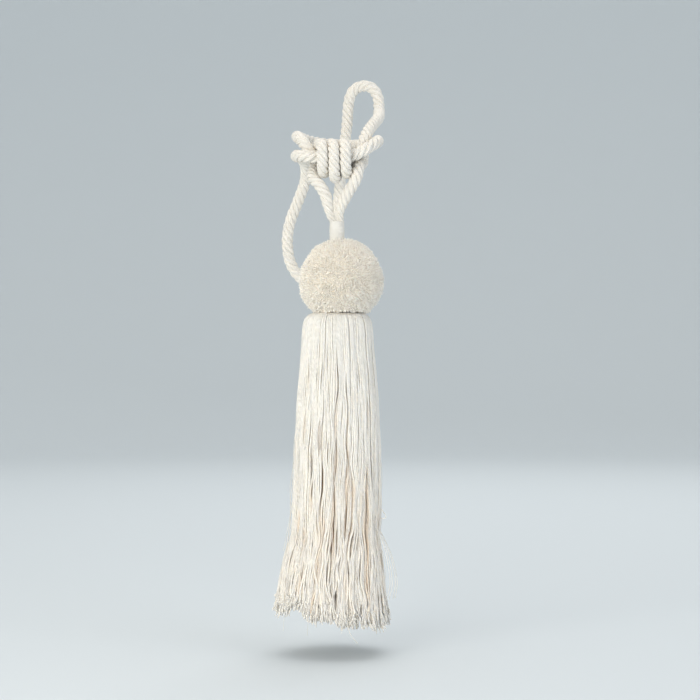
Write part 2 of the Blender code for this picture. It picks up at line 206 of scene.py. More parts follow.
def cotton(name, light, deep, plies, ply_pitch, ply_height, roughness, sheen, glow):
    """A plied cotton finish. deep is a painted shade tone: the colour where the attribute shade is 1.

    glow is how much of the light passes through the yarn's fluff and comes out beside where it fell in.
    """
    made = bpy.data.materials.new(name)
    made.use_nodes = True
    add = partial(add_node, made.node_tree)
    link = made.node_tree.links.new
    shader = made.node_tree.nodes["Principled BSDF"].inputs
    for socket, value in (
            ("Roughness", roughness), ("Sheen Weight", sheen), ("Sheen Roughness", 0.45),
            ("Sheen Tint", linear("#FFF8EC")), ("Specular IOR Level", 0.25), ("Subsurface Weight", glow),
            ("Subsurface Radius", (1.0, 0.9, 0.75)), ("Subsurface Scale", 1.2 * MM)):
        shader[socket].default_value = value

    shade, tint = (add("ShaderNodeAttribute", attribute_name=label).outputs["Fac"]
                   for label in ("shade", "tint"))
    # painted shade: the colour runs from light to deep with the attribute shade
    toned = add("ShaderNodeMix", {0: shade, 6: linear(light), 7: linear(deep)},
                data_type="RGBA").outputs[2]
    place = add("ShaderNodeTexCoord").outputs["Object"]
    slubs = add("ShaderNodeTexNoise", {"Vector": place, "Scale": SLUBS_PER_METRE, "Detail": 2.0})
    uneven = [add("ShaderNodeMath", [value, 2 * tone, 1 - tone], operation="MULTIPLY_ADD")
              for value, tone in ((tint, YARN_TONE), (slubs.outputs[0], SLUB_TONE))]
    strength = add("ShaderNodeMath", uneven, operation="MULTIPLY")
    toned = add("ShaderNodeVectorMath", {0: toned, 3: strength}, operation="SCALE")
    link(toned.outputs[0], shader["Base Color"])

    around = add("ShaderNodeSeparateXYZ", [add("ShaderNodeUVMap", uv_map="UVMap").outputs[0]]).outputs
    turns = add("ShaderNodeMath", [around["X"], float(plies)], operation="MULTIPLY")
    climb = add("ShaderNodeMath", [around["Y"], 1 / (ply_pitch * MM), turns], operation="MULTIPLY_ADD")
    climb = add("ShaderNodeMath", [climb, math.tau], operation="MULTIPLY")
    wave = add("ShaderNodeMath", [climb], operation="SINE")
    fibres = add("ShaderNodeTexNoise", {"Vector": place, "Scale": FIBRES_PER_METRE, "Detail": 3.0})
    height = add("ShaderNodeMath", [fibres.outputs[0], 0.9, wave], operation="MULTIPLY_ADD")
    bump = add("ShaderNodeBump", {"Height": height, "Distance": ply_height * MM, "Strength": 0.7})
    link(bump.outputs[0], shader["Normal"])
    return made


# The deep tones are painted shade. They show only where the attribute shade is above 0: on the skirt's
# layers, partings, inner yarns and core, and on the pompom's body and tuft roots.
rope_cotton = cotton("twisted cotton rope", "#EFEBE3", "#C9B79B", plies=7, ply_pitch=14.0,
                     ply_height=0.16, roughness=0.88, sheen=0.25, glow=0.15)
neck_cotton = cotton("cotton winding thread", "#EDEBE5", "#CDBFA8", plies=2, ply_pitch=2.4,
                     ply_height=0.06, roughness=0.70, sheen=0.30, glow=0.10)
pile_cotton = cotton("cut cotton pile", "#FFFAF0", "#EDDDC6", plies=2, ply_pitch=3.0,
                     ply_height=0.08, roughness=0.95, sheen=0.30, glow=0.40)
skirt_cotton = cotton("loose cotton yarn", "#F8F3EA", "#DEBA93", plies=2, ply_pitch=3.6,
                      ply_height=0.10, roughness=0.85, sheen=0.30, glow=0.45)
print("finishes:", [m.name for m in (rope_cotton, neck_cotton, pile_cotton, skirt_cotton)])

# %% [markdown]
# ## Strands that follow a path
# Rope, winding thread and loose yarn are all the same thing at different sizes: one or more round strands
# that follow a line, and go round each other if there are several. So one tree makes them all. The base is
# a mesh of bare edges; width, shade and tint are numbers on its points.

# %% The strand tree
def build_strand_tree():
    tree, add, given = new_tree("Strands along a path", {
        "Step": 0.001, "Strands": 1, "Strand Offset": 0.0, "Strand Radius": 0.001, "Turn": 0.0,
        "Sides": 8, "Finish": None})
    line = add("GeometryNodeMeshToCurve", {"Mesh": given["Geometry"]})
    width, around, along = (add("GeometryNodeInputNamedAttribute", {"Name": label})
                            for label in ("width", "around", "along"))
    line = add("GeometryNodeSetCurveRadius", {"Curve": line, "Radius": width})
    line = add("GeometryNodeResampleCurve", {"Curve": line, "Length": given["Step"]}, mode="LENGTH")
    spot = add("GeometryNodeSplineParameter").outputs
    line = add("GeometryNodeStoreNamedAttribute", {
        "Geometry": line, "Name": "along", "Value": spot["Length"]})
    copies = add("GeometryNodeDuplicateElements", {"Geometry": line, "Amount": given["Strands"]},
                 domain="SPLINE").outputs
    # each strand sits on a circle round the path and moves round it with the distance along
    share = add("ShaderNodeMath", [copies["Duplicate Index"], given["Strands"]], operation="DIVIDE")
    start = add("ShaderNodeMath", [share, math.tau], operation="MULTIPLY")
    angle = add("ShaderNodeMath", [spot["Factor"], given["Turn"], start], operation="MULTIPLY_ADD")
    radius = add("GeometryNodeInputRadius")
    reach = add("ShaderNodeMath", [given["Strand Offset"], radius], operation="MULTIPLY")
    side = add("GeometryNodeInputNormal").outputs["Normal"]
    other = add("ShaderNodeVectorMath", [add("GeometryNodeInputTangent"), side],
                operation="CROSS_PRODUCT").outputs[0]
    arms = []
    for operation, direction in (("COSINE", side), ("SINE", other)):
        part = add("ShaderNodeMath", [angle], operation=operation)
        part = add("ShaderNodeMath", [part, reach], operation="MULTIPLY")
        arms.append(add("ShaderNodeVectorMath", {0: direction, 3: part}, operation="SCALE").outputs[0])
    shift = add("ShaderNodeVectorMath", arms, operation="ADD").outputs[0]
    strands = add("GeometryNodeSetPosition", {"Geometry": copies["Geometry"], "Offset": shift})
    ring = add("GeometryNodeCurvePrimitiveCircle", {
        "Resolution": given["Sides"], "Radius": given["Strand Radius"]})
    ring = add("GeometryNodeStoreNamedAttribute", {
        "Geometry": ring, "Name": "around", "Value": spot["Factor"]})
    tubes = add("GeometryNodeCurveToMesh",
                {"Curve": strands, "Profile Curve": ring, "Scale": radius, "Fill Caps": True})
    # UV map: the last face round the strand would run back from 1 to 0, so its low corners get 1 more
    middle = add("GeometryNodeFieldOnDomain", [around], domain="FACE")
    behind = add("ShaderNodeMath", [middle, around], operation="SUBTRACT")
    missing = add("ShaderNodeMath", [behind, 0.25], operation="GREATER_THAN")
    u = add("ShaderNodeMath", [around, missing], operation="ADD")
    uv = add("ShaderNodeCombineXYZ", [u, along])
    tubes = add("GeometryNodeStoreNamedAttribute", {"Geometry": tubes, "Name": "UVMap", "Value": uv},
                data_type="FLOAT2", domain="CORNER")
    tubes = add("GeometryNodeSetShadeSmooth", {"Geometry": tubes})
    close_tree(add, tubes, given["Finish"])
    return tree


def path_mesh(name, lines, closed=False):
    """Bare edges for the strand tree. A line is a dict of points in the frame, width, shade and tint."""
    mesh = bpy.data.meshes.new(name)
    points, edges, start = [], [], 0
    for line in lines:
        count = len(line["points"])
        edges.extend((start + i, start + i + 1) for i in range(count - 1))
        if closed:
            edges.append((start + count - 1, start))
        points.append(line["points"])
        start += count
    mesh.from_pydata(np.concatenate(points).tolist(), edges, [])
    for label in ("width", "shade", "tint"):
        values = np.concatenate([np.broadcast_to(line[label], len(line["points"])) for line in lines])
        mesh.attributes.new(label, "FLOAT", "POINT").data.foreach_set("value", values.astype(np.float32))
    return mesh


strand_tree = build_strand_tree()
print("strand tree:", len(strand_tree.nodes), "nodes")


def strand(points, width=1.0, shade=0.0, tint=0.5):
    """One line for path_mesh, from points in millimetres."""
    return {"points": placed(points), "width": width, "shade": shade, "tint": tint}


def draw_strands(name, lines, step, radius, sides, finish, closed=False, **lay):
    """Runs the strand tree along lines. Sizes are in millimetres."""
    return grow(name, path_mesh(name, lines, closed), strand_tree, {
        "Step": step * MM, "Strand Radius": radius * MM, "Sides": sides, "Finish": finish, **lay})

# %% [markdown]
# ## The two ropes
# Both ropes are laid from four cotton strands, left-handed, with one full turn every 19 mm. The loop is
# endless: it passes the knot twice, goes round the curtain behind, and hangs on the wall hook. The tassel's
# own rope starts in the neck, makes three turns over the loop and comes back down to the neck. Both are
# free cords with a real length, so their routes are the frame's own.

# %% The loop's route
LAY_RATIO = 2.36  # length of one full turn of the strands, in rope diameters
BAND_REAR = (-31.8, -3.0)  # y, z of the rope next to the curtain
BAND_FRONT = (-40.1, -4.4)  # y, z of the rope nearer the room


def hook_bend():
    """The loop's rope over the wall hook, from its left side over the top to its right."""
    angles = (math.radians(degrees) for degrees in (170, 130, 90, 50, 10))
    return [HOOK_CENTRE + (math.cos(angle) * HOOK_BEND_RADIUS, -3.0 * math.cos(angle),
                           math.sin(angle) * HOOK_BEND_RADIUS) for angle in angles]


LOOP_FROM_HOOK = (
    (26.2, 41.8, 38.6), (26.0, 33.5, 34.4), (25.8, 21.5, 31.2), (24.8, 5.5, 27.0), (21.4, -11.5, 20.8),
    (17.2, -24.2, 13.6), (14.0, -31.3, 5.8), (9.8, -32.0, -0.8),
)
LOOP_BAND_REAR, LOOP_BAND_FRONT = (
    [(x, *band) for x in (3.0, -6.0, -14.0)] for band in (BAND_REAR, BAND_FRONT))
LOOP_ROUND_CURTAIN = (
    (-18.9, -31.9, -1.7), (-22.4, -30.6, 2.9), (-25.8, -25.6, 8.0), (-28.6, -16.5, 11.4),
    (-29.4, -6.5, 13.2), (-28.0, 4.5, 13.8), (-21.5, 16.5, 13.0), (-10.5, 23.5, 12.0),
    (1.5, 24.5, 11.3), (13.0, 19.5, 10.8), (21.0, 8.0, 10.6), (23.9, -6.0, 10.0), (24.2, -21.0, 8.4),
    (22.9, -33.6, 5.8), (17.4, -40.6, 1.6), (10.2, -41.2, -2.6),
)
LOOP_BEHIND = (
    (-20.5, -39.9, -4.2), (-25.5, -37.6, -3.4), (-28.9, -30.0, -2.8), (-29.2, -14.0, -0.4),
    (-27.6, 2.5, 0.6), (-24.5, 15.5, -4.0), (-25.0, 23.5, -13.5), (-30.2, 27.5, -27.5),
    (-35.8, 29.0, -42.0), (-37.6, 30.0, -56.0), (-35.0, 31.0, -70.5), (-27.3, 32.5, -80.5),
    (-17.0, 34.0, -82.0), (-8.8, 35.0, -74.0), (-4.8, 36.0, -57.0), (-3.2, 38.0, -36.0),
    (-1.2, 41.0, -14.0), (1.2, 44.8, 8.0), (3.6, 48.8, 27.5),
)
# the route starts inside the knot, where the closing of the loop is covered
loop_route = (*LOOP_BAND_REAR[1:], *LOOP_ROUND_CURTAIN, *LOOP_BAND_FRONT, *LOOP_BEHIND,
              *hook_bend(), *LOOP_FROM_HOOK, LOOP_BAND_REAR[0])
print("loop:", len(loop_route), "points")

# %% The tassel rope's route
NECK_X, NECK_Y = -2.6, -42.0
NECK_TOP_Z, NECK_LENGTH, NECK_RADIUS = -47.0, 10.6, 4.7
SEAT_GAP = 0.3
TURN_SPACING = TASSEL_ROPE_DIAMETER + SEAT_GAP
FIRST_TURN_X = -12.1
TURN_SAGS = (2.2, 5.6, 2.6)  # how far each turn hangs below the band, left to right
CORNER_SHARE = 0.735
LEFT_LEG = (
    (NECK_X - 2.35, NECK_Y, NECK_TOP_Z), (-6.9, -42.0, -42.6), (-8.3, -42.4, -36.6),
    (-10.4, -42.6, -28.6), (-13.9, -41.6, -22.9), (-17.8, -37.6, -18.2), (-18.8, -31.4, -14.2),
    (-17.6, -25.8, -9.8),
)
RIGHT_LEG = (
    (7.0, -23.9, -4.6), (7.0, -23.9, -1.8), (8.1, -23.8, 0.8), (10.7, -23.8, 1.9), (13.3, -23.8, 0.8),
    (14.5, -23.9, -1.8), (14.6, -24.2, -4.4), (14.0, -26.0, -6.8), (12.8, -29.6, -8.7),
    (12.2, -33.4, -9.3), (11.8, -37.2, -10.5), (11.2, -40.4, -13.0), (9.9, -42.8, -18.6),
    (6.9, -43.4, -24.0), (3.5, -42.9, -29.8), (0.8, -42.4, -35.0), (-0.7, -42.1, -40.8),
    (NECK_X + 2.35, NECK_Y, NECK_TOP_Z),
)


def knot_turn(turn):
    """Axis of one turn of the knot: up behind the band, over it, down in front and under it."""
    reach = (ROPE_DIAMETER + TASSEL_ROPE_DIAMETER) / 2 + SEAT_GAP
    corner = reach * CORNER_SHARE
    sag = TURN_SAGS[turn]
    (rear_y, rear_z), (front_y, front_z) = BAND_REAR, BAND_FRONT
    steps = (  # share of the spacing to the side of the front, y, z
        (-0.50, rear_y + reach, rear_z),
        (-0.40, rear_y + corner, rear_z + corner),
        (-0.28, rear_y, rear_z + reach),
        (-0.12, front_y, front_z + reach),
        (-0.04, front_y - corner, front_z + corner),
        (0.00, front_y - reach, front_z),
        (0.04, front_y - corner, front_z - corner - sag * 0.9),
        (0.12, front_y, front_z - reach - sag),
        (0.28, rear_y, rear_z - reach - sag * 0.6),
        (0.40, rear_y + corner, rear_z - corner - sag * 0.2),
    )
    return [(FIRST_TURN_X + TURN_SPACING * (turn + aside), y, z) for aside, y, z in steps]


tassel_route = (*LEFT_LEG, *(point for turn in range(3) for point in knot_turn(turn)), *RIGHT_LEG)
print("tassel rope:", len(tassel_route), "points")

# %% A smooth line through a route's points
def smooth_line(route, closed, samples=12):
    """Centripetal Catmull-Rom curve: it passes every point and doesn't overshoot at tight bends."""
    points = [Vector(point) for point in route]
    if closed:
        points = [points[-1], *points, points[0], points[1]]
    else:
        points = [points[0] * 2 - points[1], *points, points[-1] * 2 - points[-2]]
    curve = []
    for four in zip(points, points[1:], points[2:], points[3:]):
        knots = [0.0]
        for first, second in zip(four, four[1:]):
            knots.append(knots[-1] + math.sqrt((second - first).length))
        for step in range(samples):
            at = knots[1] + (knots[2] - knots[1]) * step / samples
            level = four
            for spans in (((0, 1), (1, 2), (2, 3)), ((0, 2), (1, 3)), ((1, 2),)):
                level = [level[i].lerp(level[i + 1], (at - knots[low]) / (knots[high] - knots[low]))
                         for i, (low, high) in enumerate(spans)]
            curve.append(level[0])
    if not closed:
        curve.append(points[-2].copy())
    return np.array([tuple(point) for point in curve])


def line_length(line, closed):
    ends = np.vstack((line, line[:1])) if closed else line
    return float(np.linalg.norm(np.diff(ends, axis=0), axis=1).sum())


loop_line = smooth_line(loop_route, closed=True)
tassel_line = smooth_line(tassel_route, closed=False)
loop_length = line_length(loop_line, True)
tassel_length = line_length(tassel_line, False)
print(f"loop {loop_length:.1f} mm, tassel rope {tassel_length:.1f} mm")

# %% Lay the ropes
STRAND_OFFSET = 0.289  # from the rope's axis to a strand's, in rope diameters
STRAND_RADIUS = 0.212
LEG_TAPER_LENGTH, LEG_END_SHARE = 16.0, 0.62  # the neck squeezes the ends of the legs
LEG_SWELL, TURN_SWELL = 0.10, 0.055  # free legs are fuller than turns pulled tight
LEG_FREE_LENGTH = 30.0


def lay_rope(name, line, length, diameter, closed):
    """Four strands along a line. An open rope is squeezed at its ends and fuller in its free legs."""
    width = np.ones(len(line))
    if not closed:
        reached = np.concatenate(([0], np.cumsum(np.linalg.norm(np.diff(line, axis=0), axis=1))))
        from_end = np.minimum(reached, length - reached)
        free = np.clip(from_end / LEG_TAPER_LENGTH, 0, 1)
        tight = np.clip((from_end - LEG_FREE_LENGTH) / LEG_TAPER_LENGTH, 0, 1)
        width = (LEG_END_SHARE + (1 + LEG_SWELL - LEG_END_SHARE) * free * free * (3 - 2 * free)
                 - (LEG_SWELL - TURN_SWELL) * tight)
    lay = {"Strands": 4, "Strand Offset": diameter * STRAND_OFFSET * MM,
           "Turn": -math.tau * round(length / (diameter * LAY_RATIO))}
    return draw_strands(name, [strand(line, width)], 0.8, diameter * STRAND_RADIUS, 16, rope_cotton,
                        closed, **lay)


loop_rope = lay_rope("loop_rope_strands", loop_line, loop_length, ROPE_DIAMETER, True)
tassel_rope = lay_rope("tassel_rope_strands", tassel_line, tassel_length, TASSEL_ROPE_DIAMETER, False)

# %% [markdown]
# ## The neck
# Both legs of the tassel's rope are bound together by a fine thread wound round them turn by turn. A helix
# is all the tree needs for that. The thread lies on a plain core, which closes the little gaps between turns.

# %% Closed solids from rings
def finished(name, body):
    """A smooth-shaded mesh from a bmesh, which is freed."""
    mesh = bpy.data.meshes.new(name)
    body.to_mesh(mesh)
    body.free()
    mesh.shade_smooth()
    return mesh


def lofted(name, rings, finish):
    """Closed solid through rings of points (mm), top to bottom, all with the same number of points."""
    body = bmesh.new()
    rings = [[body.verts.new(placed(point)) for point in ring] for ring in rings]
    for upper, lower in zip(rings, rings[1:]):
        for i in range(len(upper)):
            j = (i + 1) % len(upper)
            body.faces.new((upper[i], lower[i], lower[j], upper[j]))
    body.faces.new(rings[0])
    body.faces.new(rings[-1][::-1])
    bmesh.ops.recalc_face_normals(body, faces=body.faces)
    mesh = finished(name, body)
    mesh.materials.append(finish)
    put_in(name, mesh)
    return mesh


def level_ring(middle, wide, thick, z, sides):
    """Points of a level ellipse, anticlockwise from the right."""
    return [(middle[0] + wide * math.cos(math.tau * i / sides),
             middle[1] + thick * math.sin(math.tau * i / sides), z) for i in range(sides)]


# %% Wind the neck
THREAD_DIAMETER = 0.9
THREAD_SINK = 0.35  # how deep the thread's axis lies inside the neck's radius
CORE_RADIUS = NECK_RADIUS - 0.3
NECK_SWELL = 0.05  # the middle of the neck is this share thicker than its ends
neck_top, neck_bottom = NECK_TOP_Z + 0.4, NECK_TOP_Z - NECK_LENGTH - 2.0
windings = round((neck_top - neck_bottom) / (THREAD_DIAMETER * 0.94))
steps = np.linspace(0, 1, windings * 28)
reach = (NECK_RADIUS - THREAD_SINK) * (1 + NECK_SWELL * np.sin(steps * math.pi))
turned = steps * math.tau * windings
helix = np.stack((NECK_X + reach * np.cos(turned), NECK_Y + reach * np.sin(turned),
                  neck_top + (neck_bottom - neck_top) * steps), axis=1)
draw_strands("neck_winding", [strand(helix)], 0.9, THREAD_DIAMETER / 2, 10, neck_cotton)
NECK_PROFILE = ((2.2, neck_top + 0.3), (3.9, neck_top), (CORE_RADIUS, neck_top - 1.5),
                (CORE_RADIUS, neck_bottom + 1.0), (3.4, neck_bottom))
lofted("neck_core", [level_ring((NECK_X, NECK_Y), radius, radius, z, 32) for radius, z in NECK_PROFILE],
       neck_cotton)
print("neck:", windings, "windings")

# %% [markdown]
# ## The pompom
# A pompom is hundreds of yarns tied in the middle and cut to a ball, so what shows is the cut ends: each a
# small tuft that points outwards. The body below is only the ball's bulk. Geometry Nodes scatter one tuft
# over it, each turned, tilted and sized a little differently, from a fixed seed.

# %% The ball's body
BALL_CENTRE = np.array((0.2, -42.0, -86.6))
BALL_WIDTH_RADIUS, BALL_UPPER_RADIUS, BALL_LOWER_RADIUS = 26.6, 28.4, 24.0
BALL_SEAT_Z = -105.3  # where it is pressed flat on the skirt's head
PILE_STAND = 1.0  # how far the tufts stand out of the body
LUMPS = ((2.6, (7, 0, 0), 0.8), (7.5, (0, 0, 0), 0.5))  # how many, shifted by, how high


def ball_mesh():
    """Uneven ball, fuller above than below, flat where it rests on the skirt's head."""
    body = bmesh.new()
    bmesh.ops.create_icosphere(body, subdivisions=6, radius=1.0)
    for vert in body.verts:
        way = vert.co.normalized()
        lump = sum(noise.noise(way * many + Vector(shift)) * high for many, shift, high in LUMPS)
        upright = BALL_UPPER_RADIUS if way.z > 0 else BALL_LOWER_RADIUS
        reach = np.array((BALL_WIDTH_RADIUS, BALL_WIDTH_RADIUS, upright)) - PILE_STAND + lump
        place = BALL_CENTRE + np.array(way) * reach
        place[2] = max(place[2], BALL_SEAT_Z + 0.05)
        vert.co = placed(place)
    mesh = finished("pompom", body)
    # painted shade: the body, which lies under the tufts, takes a quarter of the deep tone
    for label, value in (("shade", 0.25), ("tint", 0.5)):
        mesh.attributes.new(label, "FLOAT", "POINT").data.foreach_set("value", [value] * len(mesh.vertices))
    return mesh


# %% The pile tree
def build_pile_tree():
    tree, add, given = new_tree("Pile on a surface", {
        "Most per m2": 4.0e6, "Spacing": 0.001, "Tuft Length": 0.004, "Tuft Radius": 0.0005, "Lean": 0.3,
        "Clump Size": 0.003, "Clump Lean": 2.0, "Lowest": -1.0, "Seed": 1, "Finish": None})
    height = add("ShaderNodeSeparateXYZ", [add("GeometryNodeInputPosition")]).outputs["Z"]
    shown = add("ShaderNodeMath", [height, given["Lowest"]], operation="GREATER_THAN")
    spots = add("GeometryNodeDistributePointsOnFaces", {
        "Mesh": given["Geometry"], "Selection": shown, "Distance Min": given["Spacing"],
        "Density Max": given["Most per m2"], "Seed": given["Seed"]}, distribute_method="POISSON").outputs
    index = add("GeometryNodeInputIndex")
    clump = add("ShaderNodeMath", [1.0, given["Clump Size"]], operation="DIVIDE")
    clump = add("ShaderNodeTexNoise", {"Detail": 1.0, "Scale": clump}).outputs
    # tone differs at random from tuft to tuft; it is also painted lighter on clumps that stand up and darker
    # on low ones, as painted light and shade
    tint = add("FunctionNodeRandomValue", {2: -0.6, 3: 0.6, 7: index, 8: 3})
    tint = add("ShaderNodeMath", [clump["Fac"], 1.6, tint], operation="MULTIPLY_ADD")
    tint = add("ShaderNodeMath", [tint, 0.3], operation="SUBTRACT", use_clamp=True)
    points = add("GeometryNodeStoreNamedAttribute", {
        "Geometry": spots["Points"], "Name": "tint", "Value": tint})
    # the tuft: a short yarn end with a rounded tip, rooted inside the body
    end = add("ShaderNodeCombineXYZ", {2: given["Tuft Length"]})
    stalk = add("GeometryNodeCurvePrimitiveLine", [(0, 0, 0), end])
    stalk = add("GeometryNodeResampleCurve", {"Curve": stalk, "Count": 3})
    at = add("GeometryNodeSplineParameter").outputs["Factor"]
    thin = add("ShaderNodeMath", [at, 4.0], operation="POWER")
    thin = add("ShaderNodeMath", [thin, -0.65, 1.0], operation="MULTIPLY_ADD")
    stalk = add("GeometryNodeSetCurveRadius", {"Curve": stalk, "Radius": thin})
    # painted shade: each tuft is darker at its root and has the full light tone at its tip
    inside = add("ShaderNodeMath", [at, -0.3, 0.3], operation="MULTIPLY_ADD")
    stalk = add("GeometryNodeStoreNamedAttribute", {"Geometry": stalk, "Name": "shade", "Value": inside})
    ring = add("GeometryNodeCurvePrimitiveCircle", {"Resolution": 4, "Radius": given["Tuft Radius"]})
    tuft = add("GeometryNodeCurveToMesh", {
        "Curve": stalk, "Profile Curve": ring, "Scale": add("GeometryNodeInputRadius"), "Fill Caps": True})
    # outwards, then leant by a random angle about a random level axis; neighbours lean much the same way
    lean = add("FunctionNodeRandomValue", {0: (-1, -1, -3.2), 1: (1, 1, 3.2), 7: index, 8: 11},
               data_type="FLOAT_VECTOR")
    lean = add("ShaderNodeVectorMath", {0: lean, 3: given["Lean"]}, operation="SCALE")
    together = add("ShaderNodeVectorMath", [clump["Color"], (0.5, 0.5, 0.5)], operation="SUBTRACT")
    together = add("ShaderNodeVectorMath", {0: together, 3: given["Clump Lean"]}, operation="SCALE")
    lean = add("ShaderNodeVectorMath", [lean, together], operation="ADD")
    turn = add("FunctionNodeEulerToRotation", [lean])
    facing = add("FunctionNodeRotateRotation", [spots["Rotation"], turn], rotation_space="LOCAL")
    # no two tufts are the same size, and where a clump stands up all of them are longer
    size = add("FunctionNodeRandomValue", {0: (0.8, 0.8, 0.75), 1: (1.2, 1.2, 1.25), 7: index, 8: 5},
               data_type="FLOAT_VECTOR")
    taller = add("ShaderNodeMath", [clump["Fac"], 1.5, 0.25], operation="MULTIPLY_ADD")
    taller = add("ShaderNodeCombineXYZ", [1.0, 1.0, taller])
    size = add("ShaderNodeVectorMath", [size, taller], operation="MULTIPLY")
    pile = add("GeometryNodeInstanceOnPoints", {
        "Points": points, "Instance": tuft, "Rotation": facing, "Scale": size})
    pile = add("GeometryNodeRealizeInstances", {"Geometry": pile})
    pile = add("GeometryNodeSetShadeSmooth", {"Geometry": pile})
    pile = add("GeometryNodeJoinGeometry", {"Geometry": pile})
    tree.links.new(given["Geometry"], pile.inputs["Geometry"])
    close_tree(add, pile, given["Finish"])
    return tree


grow("pompom_pile", ball_mesh(), build_pile_tree(), {
    "Spacing": 0.69 * MM, "Tuft Length": 2.0 * MM, "Tuft Radius": 0.46 * MM, "Lean": 0.28,
    "Clump Size": 2.4 * MM, "Clump Lean": 2.8,
    "Lowest": float(placed((0, 0, BALL_SEAT_Z + 0.6))[2]), "Finish": pile_cotton})

# %% [markdown]
# ## The skirt
# The skirt is some hundreds of loose yarns. They leave the head under the pompom, turn down over its
# shoulder and hang in locks that part here and there, so that one sees the yarns inside, with their shade
# painted on as a warmer, darker tone.
# Below the waist they fan out and end in a frayed hem. Each yarn is a line worked out from a few rules:
# its place round the skirt, how deep it lies, which partings push it aside, and its own small wander.
# The strand tree then gives every line its round body.

# %% The skirt's outline
SKIRT_Y = -42.0
SKIRT_RADIUS = 27.0  # about half its width, to turn distances round it into angles
HEAD_TOP_Z = BALL_SEAT_Z - SEAT_GAP
WAIST_Z = -247.0
SKIRT_SECTIONS = np.array((  # height, middle x, half width, half depth
    (-124.0, -2.3, 23.5, 22.0), (-149.5, -2.0, 25.9, 23.5), (-184.0, -2.3, 28.3, 25.0),
    (-225.0, -2.4, 29.3, 25.5), (-247.0, -3.4, 29.5, 25.0), (-273.0, -5.8, 33.9, 28.5),
    (-293.0, -6.2, 36.5, 31.0), (-312.0, -6.2, 38.4, 33.0), (-330.0, -6.2, 39.5, 34.0)))
SHOULDER = np.array((  # share of the head's radius, drop below its top
    (0.46, 0.0), (0.58, 0.0), (0.68, 0.1), (0.77, 0.6), (0.85, 1.6), (0.91, 3.2), (0.955, 6.0),
    (0.98, 10.0), (0.995, 14.2)))
HEM = np.array(((-1.0, -294.5), (-0.55, -296.5), (-0.05, -300.5), (0.25, -302.5), (0.5, -306.0),
                (0.9, -304.5), (1.0, -304.0)))  # share of the half width, height of the cut


def outline(z):
    """Middle x, half width and half depth of the skirt at heights, from its table of sections."""
    z = np.minimum(z, SKIRT_SECTIONS[0, 0])
    shifts = (-8, -4, 0, 4, 8)  # averaged over 16 mm, so that no section shows as a corner
    return [sum(np.interp(-(z + shift), -SKIRT_SECTIONS[:, 0], column) for shift in shifts) / len(shifts)
            for column in SKIRT_SECTIONS.T[1:]]


print("the skirt is", 2 * outline(np.array((-140.0, -200.0, -247.0, -300.0)))[1].round(1), "mm wide")

# %% Where the locks part
FRONT_PARTINGS = (  # x, z points down the front, and half the width of the gap
    (((-21.9, -139.0), (-21.9, -154.0)), 0.5),
    (((-23.4, -168.0), (-24.7, -190.0)), 0.6),
    (((-11.7, -174.0), (-15.0, -201.0)), 0.6),
    (((1.6, -155.0), (-4.2, -193.0), (-2.0, -201.5), (-2.6, -207.4), (-6.2, -222.3), (-7.2, -238.0),
      (-5.9, -252.0)), 0.95),
    (((9.6, -155.0), (9.8, -164.0)), 0.4),
    (((7.8, -187.0), (8.1, -206.0), (2.7, -222.3), (1.8, -232.7), (3.6, -243.8), (2.7, -258.0)), 0.85),
    (((17.9, -160.0), (17.9, -190.0)), 0.6),
    (((19.2, -193.0), (20.1, -208.0), (17.8, -221.7), (18.7, -241.8), (17.4, -256.0), (16.5, -277.6),
      (16.5, -288.6), (12.4, -306.0)), 1.25),
    (((-18.2, -213.0), (-20.3, -235.0)), 0.55),
    (((-24.8, -243.0), (-25.2, -258.0)), 0.9),
    (((-13.6, -247.0), (-14.6, -255.0)), 0.5),
    (((-11.7, -254.0), (-18.2, -283.0)), 0.7),
    (((-13.8, -281.0), (-18.5, -301.0)), 0.9),
    (((5.4, -262.0), (5.0, -293.0)), 0.6),
)
LOCK_SPACING = 4.6  # mean distance between partings on the sides and the back
chance = np.random.default_rng(7)


def parting(angle, heights, drift, gap):
    """A parting: its angle seen from above, how it drifts with height (radians), its half gap (mm)."""
    top, bottom = max(heights), min(heights)
    order = np.argsort(heights)
    z = np.concatenate(([bottom - 45], np.asarray(heights)[order], [top + 45]))
    return {"angle": angle, "top": top, "bottom": bottom, "gap": gap, "z": z,
            "drift": np.concatenate(([0.0], np.asarray(drift)[order], [0.0]))}


def place_partings():
    found = []
    for points, gap in FRONT_PARTINGS:
        x, z = np.array(points).T
        middle, half_width, _ = outline(z)
        angle = -np.arccos(np.clip((x - middle) / half_width, -0.97, 0.97))
        found.append(parting(angle.mean(), z, angle - angle.mean(), gap))
    for _ in range(16):  # small ones low on the front, where the yarns hang free
        z = np.linspace(0, -1, 3) * chance.uniform(14, 34) + chance.uniform(-272, -205)
        angle = chance.uniform(-2.7, -0.45)
        found.append(parting(angle, z, chance.normal(0, 0.02, 3), chance.uniform(0.3, 0.6)))
    sides = np.arange(-0.30, math.pi + 0.30, LOCK_SPACING / SKIRT_RADIUS)
    for angle in sides + chance.uniform(-0.05, 0.05, len(sides)):
        top = chance.uniform(-255, -140)
        heights = np.linspace(top, max(top - chance.uniform(22, 110), -305), 4)
        found.append(parting(angle, heights, chance.normal(0, 0.035, 4), chance.uniform(0.4, 1.15)))
    return found


partings = place_partings()
print(len(partings), "partings")

# %% Smooth unevenness
def waves(count, fine, coarse, seed, fall=0.07):
    """Smooth unevenness round the skirt and down it: a sum of sine waves with fixed random phases."""
    given = np.random.default_rng(seed)
    terms = list(zip(given.integers(coarse, fine, count), given.uniform(-fall, fall, count),
                     given.uniform(0, math.tau, count), given.uniform(0.6, 1.0, count)))
    return lambda a, z: sum(s * np.sin(m * a + k * z + p) for m, k, p, s in terms) / count ** 0.5


